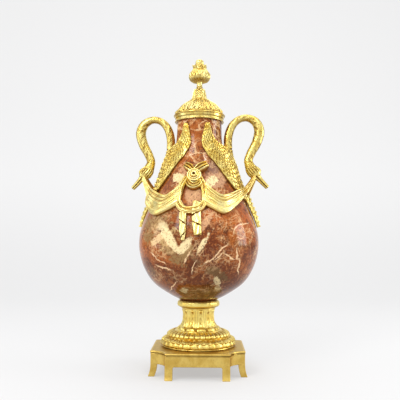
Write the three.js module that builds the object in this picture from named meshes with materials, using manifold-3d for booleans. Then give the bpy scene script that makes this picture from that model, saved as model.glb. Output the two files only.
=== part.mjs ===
// Mantel urn in the Louis XVI taste: a hollow marble vessel in gilt bronze mounts.
// Millimetres, +Z up, origin on the ground under the middle of the plinth, front towards -Y.
import * as THREE from "three";
import { mergeVertices } from "three/addons/utils/BufferGeometryUtils.js";
import Module from "manifold-3d";

const wasm = await Module();
wasm.setup();

// ---------- driving dimensions ----------

const GAP = 0.3; // clearance between neighbouring pieces
const RELIEF_GAP = 0.8; // the mounts stand this far off the wall of the vessel
const VESSEL_TURN = -6; // degrees: the vessel is clamped a little askew on its square plinth

const PLINTH = {
  side: 145.5, // across the flats
  corner: 24, // radius of the concave corners
  top: 39.8,
  skirt: 19.4, // lower edge of the skirt above the ground
  wall: 5,
  bevel: 1.4,
  cornerSteps: 4,
};
const FOOT = { width: 11.8, thick: 10.7, splay: 4, fillet: 3, joint: 2.5 };

const SOCLE = { foot: 57.3, gadroons: 30, stemLeaves: 10, ringLeaves: 15, top: 112.6, ring: 33.6 };

const BODY = { bottom: 112.9, top: 398.8, wall: 10, floor: 127, segments: 32, rings: 14, innerRings: 7 };
// Outside of the marble, as [height, radius] from its seat on the socle to the rim.
const BODY_PROFILE = [
  [112.9, 28.5], [121, 44.5], [137, 68.5], [153, 81.7], [175, 91.6], [201, 96],
  [228, 92.2], [268, 75.9], [305, 57.5], [337, 43.5], [365, 37.2], [399, 35.6],
];

const COLLAR = { bottom: 395.8, top: 401.5, radius: 39.6 };
const LID = { bottom: 401.8, rim: 41.2, rimTop: 408.2, top: 452.3, leaves: 10, wall: 3, plug: 5 };
const FINIAL = { bottom: 452.6, top: 498.2, lobes: 8, bud: 16.4 };

// Swan: neck and head as [distance from the axis, height, half depth, half width].
const NECK = [
  [48.8, 344, 6.2, 6.5], [46.7, 353, 6.6, 7], [46.4, 372, 6.8, 7], [52, 389.4, 6.4, 6.9],
  [63, 400.1, 5.6, 6.6], [77, 402.4, 5.6, 6.6], [90, 395.2, 7.2, 7.3], [95.6, 381, 8.2, 7.7],
  [91.4, 363, 7.8, 7.4], [83.5, 348, 7.1, 7], [78.8, 336, 6.8, 7], [80.2, 328, 7.6, 7.4],
  [83.6, 321, 9.4, 7.9], [88, 315.7, 10.4, 7.8], [91.6, 310.4, 8.4, 6.6], [96, 305.6, 4.9, 4.6],
  [102.4, 298.6, 4.1, 4], [109.4, 291.4, 3.6, 3.6],
];
const NECK_FACETS = { steps: 21, sides: 8 };
// Edges of the front wing as [degrees from the front of the vessel, height], root to tip.
const WING_TOP = [[90, 358], [73, 355], [58, 357.5], [47, 362.5], [40, 370.5], [36, 380], [31, 390.6]];
const WING_EDGE = [[90, 264], [68, 274], [54, 296], [39, 321.5], [23, 339.5], [12, 359], [21, 389]];
const WING = { breast: 14, body: 4.5, tip: 4, edge: 2.4, feather: 1.3, coverts: 0.55, along: 9, across: 6 };
const TAIL = { top: 276, joint: 253, bottom: 228, halfWidth: 9.5, thick: 8 };

// Festoon: edges of a swag as [degrees, height], from the swan's bill to the knot. The left-hand
// swag of the front hangs lowest nearer the swan than the right-hand one.
const SWAG_TOP = [[84, 297], [74, 285.5], [60, 281.5], [45, 277], [32, 274.5], [22, 283], [15, 293]];
const SWAG_EDGE = [[83, 292.5], [72, 276], [60, 267.5], [46, 254.5], [32, 244.8], [20, 252], [11, 259]];
const SWAG_EDGE_LEFT = [
  [83, 292.5], [73, 274], [63, 260.5], [52, 247.5], [39, 243.2], [25, 250.5], [15, 258],
];
const BILL = { lift: 20, over: 6 }; // how far the cloth stands off: in the bill, and over the breast
const CLOTH = { base: 3.6, fold: 2.6, folds: 3, along: 9, across: 6 };
const ROSETTE = { height: 302.5, radius: 11.2, depth: 9, hole: 2, segments: 12 };

// ---------- materials ----------

const gilt = (color, roughness) => new THREE.MeshStandardMaterial({ color, roughness, metalness: 1 });
const SATIN_GILT = gilt(0xd8b154, 0.42);
const BRIGHT_GILT = gilt(0xe6c35a, 0.3);
const MARBLE = new THREE.MeshStandardMaterial({ color: 0x8e4a35, roughness: 0.12, metalness: 0 });

// ---------- solids ----------

const rad = THREE.MathUtils.degToRad;
const { lerp, smoothstep } = THREE.MathUtils;

function signedVolume(geometry) {
  const p = geometry.getAttribute("position");
  const [a, b, c] = [0, 1, 2].map(() => new THREE.Vector3());
  let sum = 0;
  for (let i = 0; i < geometry.index.count; i += 3) {
    a.fromBufferAttribute(p, geometry.index.getX(i));
    b.fromBufferAttribute(p, geometry.index.getX(i + 1));
    c.fromBufferAttribute(p, geometry.index.getX(i + 2));
    sum += a.dot(b.cross(c));
  }
  return sum / 6;
}

// A closed three.js geometry as a solid that can be joined and cut.
function solid(geometry) {
  const bare = new THREE.BufferGeometry();
  bare.setAttribute("position", geometry.getAttribute("position"));
  bare.setIndex(geometry.index);
  const merged = mergeVertices(bare, 1e-4);
  const flip = signedVolume(merged) < 0;
  const triVerts = [];
  const index = merged.index.array;
  for (let i = 0; i < index.length; i += 3) {
    const [a, b, c] = flip ? [index[i], index[i + 2], index[i + 1]] : index.subarray(i, i + 3);
    if (a !== b && b !== c && c !== a) triVerts.push(a, b, c);
  }
  return new wasm.Manifold(
    new wasm.Mesh({
      numProp: 3,
      vertProperties: merged.getAttribute("position").array,
      triVerts: new Uint32Array(triVerts),
    }),
  );
}

const joined = (parts) => parts.reduce((whole, part) => whole.add(part));

function piece(name, body, material) {
  const { vertProperties, triVerts } = body.getMesh();
  const geometry = new THREE.BufferGeometry();
  geometry.setAttribute("position", new THREE.BufferAttribute(vertProperties, 3));
  geometry.setIndex(new THREE.BufferAttribute(triVerts, 1));
  geometry.computeVertexNormals();
  const mesh = new THREE.Mesh(geometry, material);
  mesh.name = name;
  return mesh;
}

// A closed body through rings with equal numbers of points. Each end closes on its middle.
function loft(rings) {
  const n = rings[0].length;
  const last = (rings.length - 1) * n;
  const points = rings.flat();
  for (const ring of [rings[0], rings.at(-1)])
    points.push(ring.reduce((sum, p) => sum.add(p), new THREE.Vector3()).divideScalar(n));
  const index = [];
  for (let i = 0; i < n; i++) {
    const next = (i + 1) % n;
    index.push(points.length - 2, next, i, points.length - 1, last + i, last + next);
    for (let row = 0; row < last; row += n)
      index.push(row + i, row + next, row + n + next, row + i, row + n + next, row + n + i);
  }
  const geometry = new THREE.BufferGeometry().setFromPoints(points);
  geometry.setIndex(index);
  return solid(geometry);
}

// A turned body: profile as [radius, height], upwards on its outside. carve(angle, height) adds
// to the radius, for the ornament that repeats round it. Angle 0 is the front.
function turned(profile, segments, carve = () => 0) {
  const geometry = new THREE.LatheGeometry(
    profile.map(([r, z]) => new THREE.Vector2(r, z)),
    segments,
  );
  geometry.rotateX(Math.PI / 2);
  const p = geometry.getAttribute("position");
  for (let i = 0; i < p.count; i++) {
    const r = Math.hypot(p.getX(i), p.getY(i));
    if (r < 1) continue;
    const angle = Math.atan2(p.getX(i), -p.getY(i));
    const scale = 1 + carve(angle, p.getZ(i), r) / r;
    p.setXY(i, p.getX(i) * scale, p.getY(i) * scale);
  }
  return solid(geometry);
}

// ---------- plinth ----------

// The plinth's outline at a level, drawn in by an inset: a square with concave round corners.
function plinthOutline(inset, z) {
  const half = PLINTH.side / 2;
  const radius = PLINTH.corner + inset;
  const from = Math.asin(inset / radius);
  const ring = [];
  for (let corner = 0; corner < 4; corner++)
    for (let i = 0; i <= PLINTH.cornerSteps; i++) {
      const swing = lerp(Math.PI / 2 - from, from, i / PLINTH.cornerSteps);
      const p = new THREE.Vector3(-half + radius * Math.cos(swing), -half + radius * Math.sin(swing), z);
      ring.push(p.applyAxisAngle(new THREE.Vector3(0, 0, 1), (corner * Math.PI) / 2));
    }
  return ring;
}

// One block foot under the front face, its outer side at the end of the left concave corner.
function foot() {
  const { width, thick, splay, fillet, joint } = FOOT;
  const outline = new THREE.Shape();
  outline.moveTo(0, 0);
  outline.lineTo(width, 0);
  outline.lineTo(width, PLINTH.skirt - fillet);
  outline.quadraticCurveTo(width, PLINTH.skirt, width + fillet, PLINTH.skirt);
  outline.lineTo(width + fillet, PLINTH.skirt + joint);
  outline.lineTo(0, PLINTH.skirt + joint);
  const block = new THREE.ExtrudeGeometry(outline, { depth: thick, bevelEnabled: false, curveSegments: 3 });
  block.rotateX(Math.PI / 2).translate(0, thick, 0);
  const p = block.getAttribute("position");
  for (let i = 0; i < p.count; i++) p.setY(i, p.getY(i) - splay * (1 - p.getZ(i) / PLINTH.skirt) ** 2);
  const inset = 0.05; // keeps the block's faces off the skirt's own planes
  return block.translate(-PLINTH.side / 2 + PLINTH.corner + inset, -PLINTH.side / 2 + inset, 0);
}

function makePlinth() {
  const { top, skirt, wall, bevel } = PLINTH;
  const shell = loft([
    plinthOutline(wall, top - wall),
    plinthOutline(wall, skirt),
    plinthOutline(0, skirt),
    plinthOutline(0, top - bevel),
    plinthOutline(bevel, top),
  ]);
  const feet = [];
  for (let side = 0; side < 4; side++)
    for (const mirror of [1, -1]) {
      feet.push(solid(foot().scale(mirror, 1, 1).rotateZ((side * Math.PI) / 2)));
    }
  return joined([shell, ...feet]);
}

// ---------- turned mounts ----------

const ripple = (angle, count) => Math.cos(angle * count); // 1 on each lobe, -1 between two
const within = (z, low, high) => z > low && z < high;

function makeSocle() {
  const base = PLINTH.top + GAP;
  const { foot: r, top, ring } = SOCLE;
  const profile = [
    [0, base], [r, base], [r, base + 2], [59.6, 45.6], [57.4, 51.2], [48.2, 55.6], [49.8, 58.6],
    [45.2, 62.6], [36.2, 64.8], [29.2, 71.2], [25, 80], [25.2, 98], [28, 101.4], [ring - 1.4, 103.6],
    [ring, 107.6], [30.4, top], [0, top],
  ];
  const carve = (angle, z) => {
    if (within(z, 43, 53)) return 0.6 * ripple(angle, SOCLE.gadroons);
    if (within(z, 56, 63)) return 1.1 * ripple(angle, SOCLE.gadroons);
    if (within(z, 66, 99)) return 1.3 * ripple(angle, SOCLE.stemLeaves);
    if (within(z, 103, 109)) return 0.5 * ripple(angle, SOCLE.ringLeaves);
    return 0;
  };
  return turned(profile, 2 * SOCLE.gadroons, carve);
}

function makeCollar() {
  const { bottom, top, radius } = COLLAR;
  const neck = wallRadius(bottom) + GAP;
  const seat = BODY.top + GAP;
  const mouth = neck - BODY.wall;
  return turned(
    [
      [mouth, seat], [neck, seat], [neck, bottom], [radius, bottom + 1.6], [radius, top - 1.6],
      [mouth, top], [mouth, seat],
    ],
    BODY.segments,
  );
}

function makeLid() {
  const { bottom, rim, rimTop, top, wall, plug, leaves } = LID;
  const mouth = wallRadius(COLLAR.bottom) - BODY.wall - 0.5;
  const dome = [
    [38.2, rimTop + 0.6], [35.2, 413.4], [32, 417.8], [27.4, 423.2], [19, 428.2], [13.4, 433],
    [10.7, 438.6], [9.6, 444.6], [6.4, 450.4],
  ];
  const hollow = [
    [0, 424.5], [13, 422.5], [mouth - wall, 414.5], [mouth - wall, bottom - plug],
    [mouth, bottom - plug], [mouth, bottom],
  ];
  const profile = [
    ...hollow, [rim - 1.6, bottom], [rim, (bottom + rimTop) / 2], [rim - 1.6, rimTop],
    ...dome, [5.6, top], [0, top],
  ];
  const carve = (angle, z, r) => (within(z, 410, 446) && r > 9 ? 0.8 * ripple(angle, leaves) : 0);
  return turned(profile, 3 * leaves, carve);
}

function makeFinial() {
  const { bottom, top, bud, lobes } = FINIAL;
  const profile = [
    [0, bottom], [5.4, bottom], [4.5, 457], [4.6, 461.4], [11.4, 463.6], [bud - 0.4, 468.6],
    [bud, 473.4], [13.6, 480.4], [10.8, 484.4], [11.4, 486.8], [7.2, 488.8], [7, 494.6], [0, top],
  ];
  const carve = (angle, z) => (within(z, 463, 487) ? 0.9 * ripple(angle, lobes) : 0);
  return turned(profile, 3 * lobes, carve);
}

// ---------- marble vessel ----------

// Outside radius of the marble at a height, a smooth curve through BODY_PROFILE.
function wallRadius(z) {
  const table = BODY_PROFILE;
  const slope = (i) => {
    const [a, b] = [table[Math.max(i - 1, 0)], table[Math.min(i + 1, table.length - 1)]];
    return (b[1] - a[1]) / (b[0] - a[0]);
  };
  let i = 0;
  while (i < table.length - 2 && z > table[i + 1][0]) i++;
  const span = table[i + 1][0] - table[i][0];
  const u = THREE.MathUtils.clamp((z - table[i][0]) / span, 0, 1);
  const [v, w] = [1 - u, u];
  return (
    table[i][1] * (1 + 2 * w) * v * v + slope(i) * span * w * v * v +
    table[i + 1][1] * (3 - 2 * w) * w * w - slope(i + 1) * span * v * w * w
  );
}

// Radius and height of the point that stands off the wall by h, square to it, above height z.
function offWall(z, h) {
  const slope = wallRadius(z + 0.5) - wallRadius(z - 0.5);
  const tilt = Math.hypot(1, slope);
  return [wallRadius(z) + h / tilt, z - (h * slope) / tilt];
}

function onWall(degrees, z, h) {
  const [r, height] = offWall(z, h);
  return new THREE.Vector3(r * Math.sin(rad(degrees)), -r * Math.cos(rad(degrees)), height);
}

// Heights that cut the wall, between two of them, into lengths that are about equal.
function evenHeights(from, to, count) {
  const line = [];
  for (let z = from; z < to; z += 0.5) line.push(new THREE.Vector2(wallRadius(z), z));
  line.push(new THREE.Vector2(wallRadius(to), to));
  const length = [0];
  for (let i = 1; i < line.length; i++) length.push(length[i - 1] + line[i].distanceTo(line[i - 1]));
  return Array.from({ length: count + 1 }, (_, k) => {
    const want = (k / count) * length.at(-1);
    return line[length.findIndex((l) => l >= want - 1e-6)].y;
  });
}

function makeBody() {
  const { bottom, top, wall, floor, segments, rings, innerRings } = BODY;
  const outside = evenHeights(bottom, top, rings).map((z) => [wallRadius(z), z]);
  const inside = evenHeights(bottom + wall, top, innerRings).map((z) => offWall(z, -wall));
  inside.at(-1)[1] = top;
  return turned([[0, bottom], ...outside, ...inside.reverse(), [0, floor]], segments);
}

// ---------- reliefs on the wall ----------

const curve = (points) => new THREE.SplineCurve(points.map(([x, y]) => new THREE.Vector2(x, y)));

// A relief between two edge lines on the wall. s runs along it and t across, both 0 to 1;
// height(s, t) is its thickness there, and lift(s) how far its back stands off the wall.
function relief({ edges, height, lift = () => RELIEF_GAP, along, across, under = 2 }) {
  const rings = [];
  for (let i = 0; i <= along; i++) {
    const s = i / along;
    const [a, b] = edges(s);
    const at = (t, h) => onWall(lerp(a.x, b.x, t), lerp(a.y, b.y, t), lift(s) + h);
    const ring = [];
    for (let j = 0; j <= across; j++) ring.push(at(j / across, height(s, j / across)));
    for (let j = 0; j < under; j++) ring.push(at(1 - j / (under - 1), 0));
    rings.push(ring);
  }
  return loft(rings);
}

// A ribbon of cloth along a line on the wall, with its half width in millimetres at each point.
function ribbon(points, { height, along = 4, across = 4, lift }) {
  const line = curve(points);
  const widths = curve(points.map((p, i) => [i / (points.length - 1), p[2]]));
  const edges = (s) => {
    const middle = line.getPoint(s);
    const radius = wallRadius(middle.y);
    const way = line.getPoint(Math.min(s + 0.02, 1)).sub(line.getPoint(Math.max(s - 0.02, 0)));
    way.x *= rad(radius);
    way.normalize().multiplyScalar(widths.getPoint(s).y);
    const aside = new THREE.Vector2(-way.y / rad(radius), way.x);
    return [middle.clone().add(aside), middle.clone().sub(aside)];
  };
  return relief({ edges, height, lift, along, across });
}

// ---------- swan handles ----------

function neckAndHead() {
  const path = new THREE.CatmullRomCurve3(NECK.map(([x, z]) => new THREE.Vector3(x, 0, z)));
  const size = curve(NECK.map(([, , depth, width]) => [depth, width]));
  const { steps, sides } = NECK_FACETS;
  const rings = [];
  for (let i = 0; i <= steps; i++) {
    const middle = path.getPoint(i / steps);
    const way = path.getTangent(i / steps);
    const out = new THREE.Vector3(-way.z, 0, way.x);
    const { x: depth, y: width } = size.getPoint(i / steps);
    const ring = [];
    for (let k = 0; k < sides; k++) {
      const turn = ((k + 0.5) / sides) * 2 * Math.PI;
      ring.push(middle.clone().addScaledVector(out, depth * Math.cos(turn)).setY(width * Math.sin(turn)));
    }
    rings.push(ring);
  }
  return loft(rings);
}

// Both wings and the breast between them, from the tip of the back wing to that of the front one.
function breastAndWings() {
  const top = curve(WING_TOP);
  const edge = curve(WING_EDGE);
  const edges = (s) => {
    const out = Math.abs(2 * s - 1);
    const pair = [top.getPoint(out), edge.getPoint(out)];
    if (s < 0.5) for (const p of pair) p.x = 180 - p.x;
    return pair;
  };
  const height = (s, t) => {
    const out = Math.abs(2 * s - 1);
    const crown = Math.sin(Math.PI * (0.12 + 0.76 * t) ** 0.8);
    const taper = (WING.breast - WING.body) * t * (1 - out) ** 3;
    const breast = lerp(WING.breast, WING.tip, smoothstep(out, 0, 0.55)) - taper;
    const column = Math.round(t * WING.across);
    const row = out < WING.coverts ? Math.round(out * WING.along) : 0;
    return WING.edge + (breast - WING.edge) * crown + WING.feather * ((column + row) % 2);
  };
  return relief({ edges, height, along: 2 * WING.along, across: WING.across, under: 4 });
}

// The leaf that hangs below the breast, in two lengths, the upper one lapping over the lower.
function tailLeaf() {
  const { top, joint, bottom, halfWidth, thick } = TAIL;
  const length = (from, to, wide, narrow, rise) =>
    relief({
      edges: (s) => {
        const half = lerp(wide, narrow, s ** 1.6);
        const z = lerp(from, to, s);
        return [new THREE.Vector2(90 - half, z), new THREE.Vector2(90 + half, z)];
      },
      height: (s, t) => rise * (0.45 + 0.55 * Math.sin(Math.PI * t)) * (1 - 0.35 * s),
      along: 3,
      across: 2,
      under: 3,
    });
  return [
    length(top, joint - 3, halfWidth, 4.5, thick + 1.2),
    length(joint + 4, bottom, halfWidth * 0.72, 1.2, thick),
  ];
}

function makeSwan() {
  return joined([breastAndWings(), ...tailLeaf(), neckAndHead()]);
}

// ---------- festoons ----------

const folds = (t, count) => 0.5 - 0.5 * Math.cos(2 * Math.PI * count * t);

function swag(side, lowerEdge = SWAG_EDGE) {
  const top = curve(SWAG_TOP);
  const edge = curve(lowerEdge);
  const mirrored = (p) => new THREE.Vector2(p.x * side, p.y);
  const bunch = 1; // extra thickness where the bill grips the cloth
  const height = (s, t) => {
    const fold = CLOTH.fold * folds(t, CLOTH.folds) * smoothstep(s, 0, 0.2);
    return CLOTH.base + fold + (s === 0 ? bunch : 0);
  };
  const lift = (s) => {
    const overBreast = BILL.over * (1 - smoothstep(s, 0.34, 0.5));
    return RELIEF_GAP + overBreast + BILL.lift * (1 - smoothstep(s, 0, 0.24)) ** 1.3;
  };
  return relief({
    edges: (s) => [mirrored(top.getPoint(s)), mirrored(edge.getPoint(s))],
    height,
    lift,
    along: CLOTH.along,
    across: CLOTH.across,
  });
}

function rosette() {
  const { height, radius, depth, hole, segments } = ROSETTE;
  const profile = [
    [0, 0], [radius, 0], [radius, depth * 0.6], [radius * 0.66, depth * 0.72],
    [radius * 0.45, depth], [hole, depth * 0.85], [0, depth * 0.45],
  ];
  const disc = new THREE.LatheGeometry(profile.map(([r, z]) => new THREE.Vector2(r, z)), segments);
  const slope = wallRadius(height + 0.5) - wallRadius(height - 0.5);
  const seat = onWall(0, height, RELIEF_GAP + 1);
  disc.applyQuaternion(
    new THREE.Quaternion().setFromUnitVectors(
      new THREE.Vector3(0, 1, 0),
      new THREE.Vector3(0, -1, -slope).normalize(),
    ),
  );
  return solid(disc.translate(seat.x, seat.y, seat.z));
}

// A ribbon's height: ridges across it, and a little more body halfway along.
const ridged = (thick, count = 1) => (s, t) =>
  thick * (0.55 + 0.45 * folds(t, count)) * (0.75 + 0.25 * Math.sin(Math.PI * s));

function makeFrontFestoon() {
  const strip = (points) => ribbon(points, { height: ridged(6), across: 2 });
  const leftStrip = strip([[-10, 301, 3.5], [-15, 289, 5], [-16.5, 276, 5.2], [-16.5, 262, 5.8]]);
  const rightStrip = strip([[8, 301, 3.5], [11.5, 290, 4.6], [13, 277, 4.8], [13.5, 262, 5.6]]);
  const loopLine = [[-15.5, 262, 5.5], [-9.5, 252, 5.5], [-1.5, 249.5, 5.5], [7.5, 253, 5.5], [13, 262, 5]];
  const loop = ribbon(loopLine, { height: ridged(6.5, 2), along: 6 });
  const end = (points) => ribbon(points, { height: ridged(5, 2) });
  const rightEnd = end([[5, 264, 6.4], [4.5, 246, 6.8], [5, 231, 6.4], [6, 214, 5.4]]);
  const leftEnd = end([[-8.5, 253, 5.2], [-8, 236, 5.4], [-7, 220, 4.8], [-6.5, 206.5, 2]]);
  const knot = ribbon([[-9.5, 297, 3], [-5, 289, 5], [0, 286, 5.5], [6, 289, 5], [10, 297, 3]], {
    height: ridged(7),
    across: 2,
  });
  const bow = (points) => ribbon(points, { height: ridged(8.5), along: 3, across: 2 });
  const leftBow = bow([[0, 308, 4], [-8, 315.5, 6], [-17, 320.5, 4]]);
  const rightBow = bow([[0, 308, 4], [9.5, 316, 6.5], [20.5, 321.5, 5]]);
  const cloth = [swag(1), swag(-1, SWAG_EDGE_LEFT), leftStrip, rightStrip, loop];
  return joined([...cloth, rightEnd, leftEnd, knot, rosette(), leftBow, rightBow]);
}

// The hidden side has the swags, the rosette and the strips, without bow or ribbon ends.
function makeBackFestoon() {
  const strip = (side) =>
    ribbon([[side * 6, 299, 3.5], [side * 10, 287, 4.6], [side * 13, 268, 6]], {
      height: ridged(6),
      along: 3,
      across: 2,
    });
  const loop = ribbon([[-14, 262, 5.5], [0, 251, 6], [14, 262, 5.5]], { height: ridged(6), across: 2 });
  return joined([swag(1), swag(-1), strip(1), strip(-1), loop, rosette()]);
}

// ---------- assembly ----------

const urn = new THREE.Group();
urn.add(piece("plinth", makePlinth(), SATIN_GILT));

const vessel = new THREE.Group();
vessel.rotation.z = rad(VESSEL_TURN);
urn.add(vessel);
vessel.add(piece("socle", makeSocle(), BRIGHT_GILT));
vessel.add(piece("body", makeBody(), MARBLE));
vessel.add(piece("collar", makeCollar(), BRIGHT_GILT));
vessel.add(piece("lid", makeLid(), BRIGHT_GILT));
vessel.add(piece("finial", makeFinial(), BRIGHT_GILT));
for (const [name, turn] of [["swan_right", 0], ["swan_left", 180]]) {
  const swan = piece(name, makeSwan(), BRIGHT_GILT);
  swan.rotation.z = rad(turn);
  vessel.add(swan);
}
vessel.add(piece("drapery_front", makeFrontFestoon(), BRIGHT_GILT));
const back = piece("drapery_back", makeBackFestoon(), BRIGHT_GILT);
back.rotation.z = Math.PI;
vessel.add(back);

export default urn;
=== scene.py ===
"""Mantel urn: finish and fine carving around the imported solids.

Every size is in millimetres until a mesh is made. The reliefs on the vessel use two coordinates:
degrees round the axis from the front of the vessel, and the height of the wall point they stand on.
"""
import math

import bpy
import numpy as np
from mathutils import Matrix, Vector


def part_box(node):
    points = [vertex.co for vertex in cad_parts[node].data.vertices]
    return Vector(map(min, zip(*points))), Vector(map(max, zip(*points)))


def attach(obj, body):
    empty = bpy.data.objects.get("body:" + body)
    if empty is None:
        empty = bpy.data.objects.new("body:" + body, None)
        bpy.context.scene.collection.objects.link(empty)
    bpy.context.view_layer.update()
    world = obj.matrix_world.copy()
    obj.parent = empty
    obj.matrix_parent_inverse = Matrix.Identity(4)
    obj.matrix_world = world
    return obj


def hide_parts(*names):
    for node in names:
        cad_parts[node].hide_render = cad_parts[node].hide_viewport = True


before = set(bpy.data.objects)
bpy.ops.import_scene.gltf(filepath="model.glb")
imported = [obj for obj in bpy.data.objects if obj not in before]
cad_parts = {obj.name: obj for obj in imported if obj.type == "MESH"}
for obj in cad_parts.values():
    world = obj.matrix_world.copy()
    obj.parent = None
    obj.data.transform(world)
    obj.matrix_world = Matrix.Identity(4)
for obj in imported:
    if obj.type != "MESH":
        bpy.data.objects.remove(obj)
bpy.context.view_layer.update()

MM = 0.001
TURN = math.radians(-6)  # the vessel stands a little askew on its plinth
MARBLE_WALL = 10
VESSEL_FLOOR = 127  # height of the floor inside
RELIEF_GAP = 0.8  # the mounts stand this far off the marble
SHARP = math.radians(40)  # edges bent more than this are shaded sharp
QUARTERS = [(1, 0), (0, 1), (-1, 0), (0, -1)]  # cosine and sine of each quarter turn


def box_mm(node):
    low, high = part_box(node)
    return np.array(low) / MM, np.array(high) / MM


def in_scene(name, data):
    obj = bpy.data.objects.new(name, data)
    bpy.context.scene.collection.objects.link(obj)
    return obj


# ------------------------ small maths

def smooth(x, low, high):
    u = np.clip((x - low) / (high - low), 0, 1)
    return u * u * (3 - 2 * u)


def mix(a, b, t):
    return a * (1 - t) + b * t


def hump(x, width):
    """A soft crest, 1 at 0 and about a third one width away."""
    return np.exp(-((x / width) ** 2))


def round_ridge(x):
    """A ridge with a round crest at 0 and a sharp valley at -1 and 1."""
    return np.sqrt(np.clip(1 - x * x, 0, 1))


def rounded(t, width):
    """Rises in a quarter circle from 0 at either end of t to 1 at `width` from it."""
    near = np.clip(np.minimum(t, 1 - t) / width, 0, 1)
    return np.sqrt(1 - (1 - near) ** 2)


def faded(v, start, stop):
    """Fades in over `start` and out over `stop` at the two ends of v."""
    return smooth(v, 0, start) * smooth(1 - v, 0, stop)


def cell(x, count):
    """Place within its cell, -1 to 1, of each x when `count` cells fill 0 to 1, and the cell's number."""
    y = x * count
    return 2 * (y - np.floor(y)) - 1, np.floor(y)


def spline(points, s):
    """Places on the Catmull-Rom curve through `points`; s runs from 0 to 1, the same for each span."""
    p = np.array(points, float)
    s = np.atleast_1d(np.asarray(s, float)) * (len(p) - 1)
    i = np.clip(np.floor(s).astype(int), 0, len(p) - 2)
    u = (s - i)[:, None]
    p0, p1 = p[np.maximum(i - 1, 0)], p[i]
    p2, p3 = p[i + 1], p[np.minimum(i + 2, len(p) - 1)]
    v0, v1 = (p2 - p0) / 2, (p3 - p1) / 2
    return (2 * p1 - 2 * p2 + v0 + v1) * u**3 + (-3 * p1 + 3 * p2 - 2 * v0 - v1) * u**2 + v0 * u + p1


def curve(count, *points):
    return spline(points, np.linspace(0, 1, count))


def line(a, b, count=2):
    t = np.linspace(0, 1, count)[:, None]
    return np.array(a) * (1 - t) + np.array(b) * t


def blur(h, n, wrap):
    """Mean of h over a square of 2n+1 samples; wrap joins the two ends of each row."""
    count = 2 * n + 1
    for mode in ("edge", "wrap" if wrap else "edge"):
        total = np.cumsum(np.pad(h, [(n, n), (0, 0)], mode=mode), 0)
        total = np.insert(total, 0, 0, 0)
        h = (total[count:] - total[:-count]).T / count
    return h


def about_axis(points, c, s):
    """Points turned round the axis by the angle that has this cosine and sine."""
    return points @ np.array([[c, s, 0], [-s, c, 0], [0, 0, 1]])


# ------------------------ meshes

class Piece:
    """Collects closed shells, each a grid of points, and makes one mesh object of them."""

    def __init__(self, name):
        self.name = name
        self.points, self.quads, self.tris, self.patina_and_shade = [], [], [], []
        self.count = 0

    def shell(self, rows, patina_and_shade=None):
        """rows[i, j]: ring i, point j; the rings close on themselves, and the ends are capped."""
        rows = np.asarray(rows, float)
        n, m = rows.shape[:2]
        if patina_and_shade is None:
            patina_and_shade = np.zeros((n, m))
        index = self.count + np.arange(n * m).reshape(n, m)
        after = np.roll(index, -1, 1)
        first, last = self.count + n * m, self.count + n * m + 1
        points = np.concatenate([rows.reshape(-1, 3), [rows[0].mean(0), rows[-1].mean(0)]])
        quads = np.stack([index[:-1], after[:-1], after[1:], index[1:]], -1).reshape(-1, 4)
        tris = np.concatenate([
            np.stack([np.full(m, first), after[0], index[0]], -1),
            np.stack([np.full(m, last), index[-1], after[-1]], -1),
        ])
        if self.volume(points, quads - self.count, tris - self.count) < 0:
            quads, tris = quads[:, ::-1], tris[:, ::-1]
        self.points.append(points)
        self.quads.append(quads)
        self.tris.append(tris)
        self.patina_and_shade.append(np.concatenate([patina_and_shade.reshape(-1), [0, 0]]))
        self.count += len(points)

    @staticmethod
    def volume(points, quads, tris):
        faces = np.concatenate([quads[:, [0, 1, 2]], quads[:, [0, 2, 3]], tris])
        a, b, c = (points[faces[:, k]] for k in range(3))
        return np.einsum("ij,ij->i", a, np.cross(b, c)).sum()

    def build(self, material, node, slot, turn=0.0):
        points = about_axis(np.concatenate(self.points) * MM, math.cos(turn), math.sin(turn))
        quads, tris = np.concatenate(self.quads), np.concatenate(self.tris)
        mesh = bpy.data.meshes.new(self.name)
        mesh.vertices.add(len(points))
        mesh.vertices.foreach_set("co", points.ravel())
        loops = np.concatenate([quads.ravel(), tris.ravel()])
        mesh.loops.add(len(loops))
        mesh.loops.foreach_set("vertex_index", loops)
        starts = np.concatenate([np.arange(len(quads)) * 4, len(quads) * 4 + np.arange(len(tris)) * 3])
        mesh.polygons.add(len(starts))
        mesh.polygons.foreach_set("loop_start", starts)
        mesh.update(calc_edges=True)
        mesh.validate()
        # how far each point's gilding is darkened: patina and painted shade in the hollows, painted shade on
        # backs, streaks and slits
        attribute = mesh.attributes.new("patina_and_shade", "FLOAT", "POINT")
        attribute.data.foreach_set("value", np.concatenate(self.patina_and_shade).astype(np.float32))
        mesh.shade_smooth()
        mesh.set_sharp_from_angle(angle=SHARP)
        mesh.materials.append(material)
        obj = in_scene(self.name, mesh)
        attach(obj, "root")
        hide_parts(node)


# ------------------------ turned pieces

def bead(r, z0, z1, bulge, count=14):
    """Half-round moulding on radius r between two heights, standing out by bulge."""
    a = np.linspace(-math.pi / 2, math.pi / 2, count)
    return np.stack([r + bulge * np.cos(a), (z0 + z1) / 2 + (z1 - z0) / 2 * np.sin(a)], 1)


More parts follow.
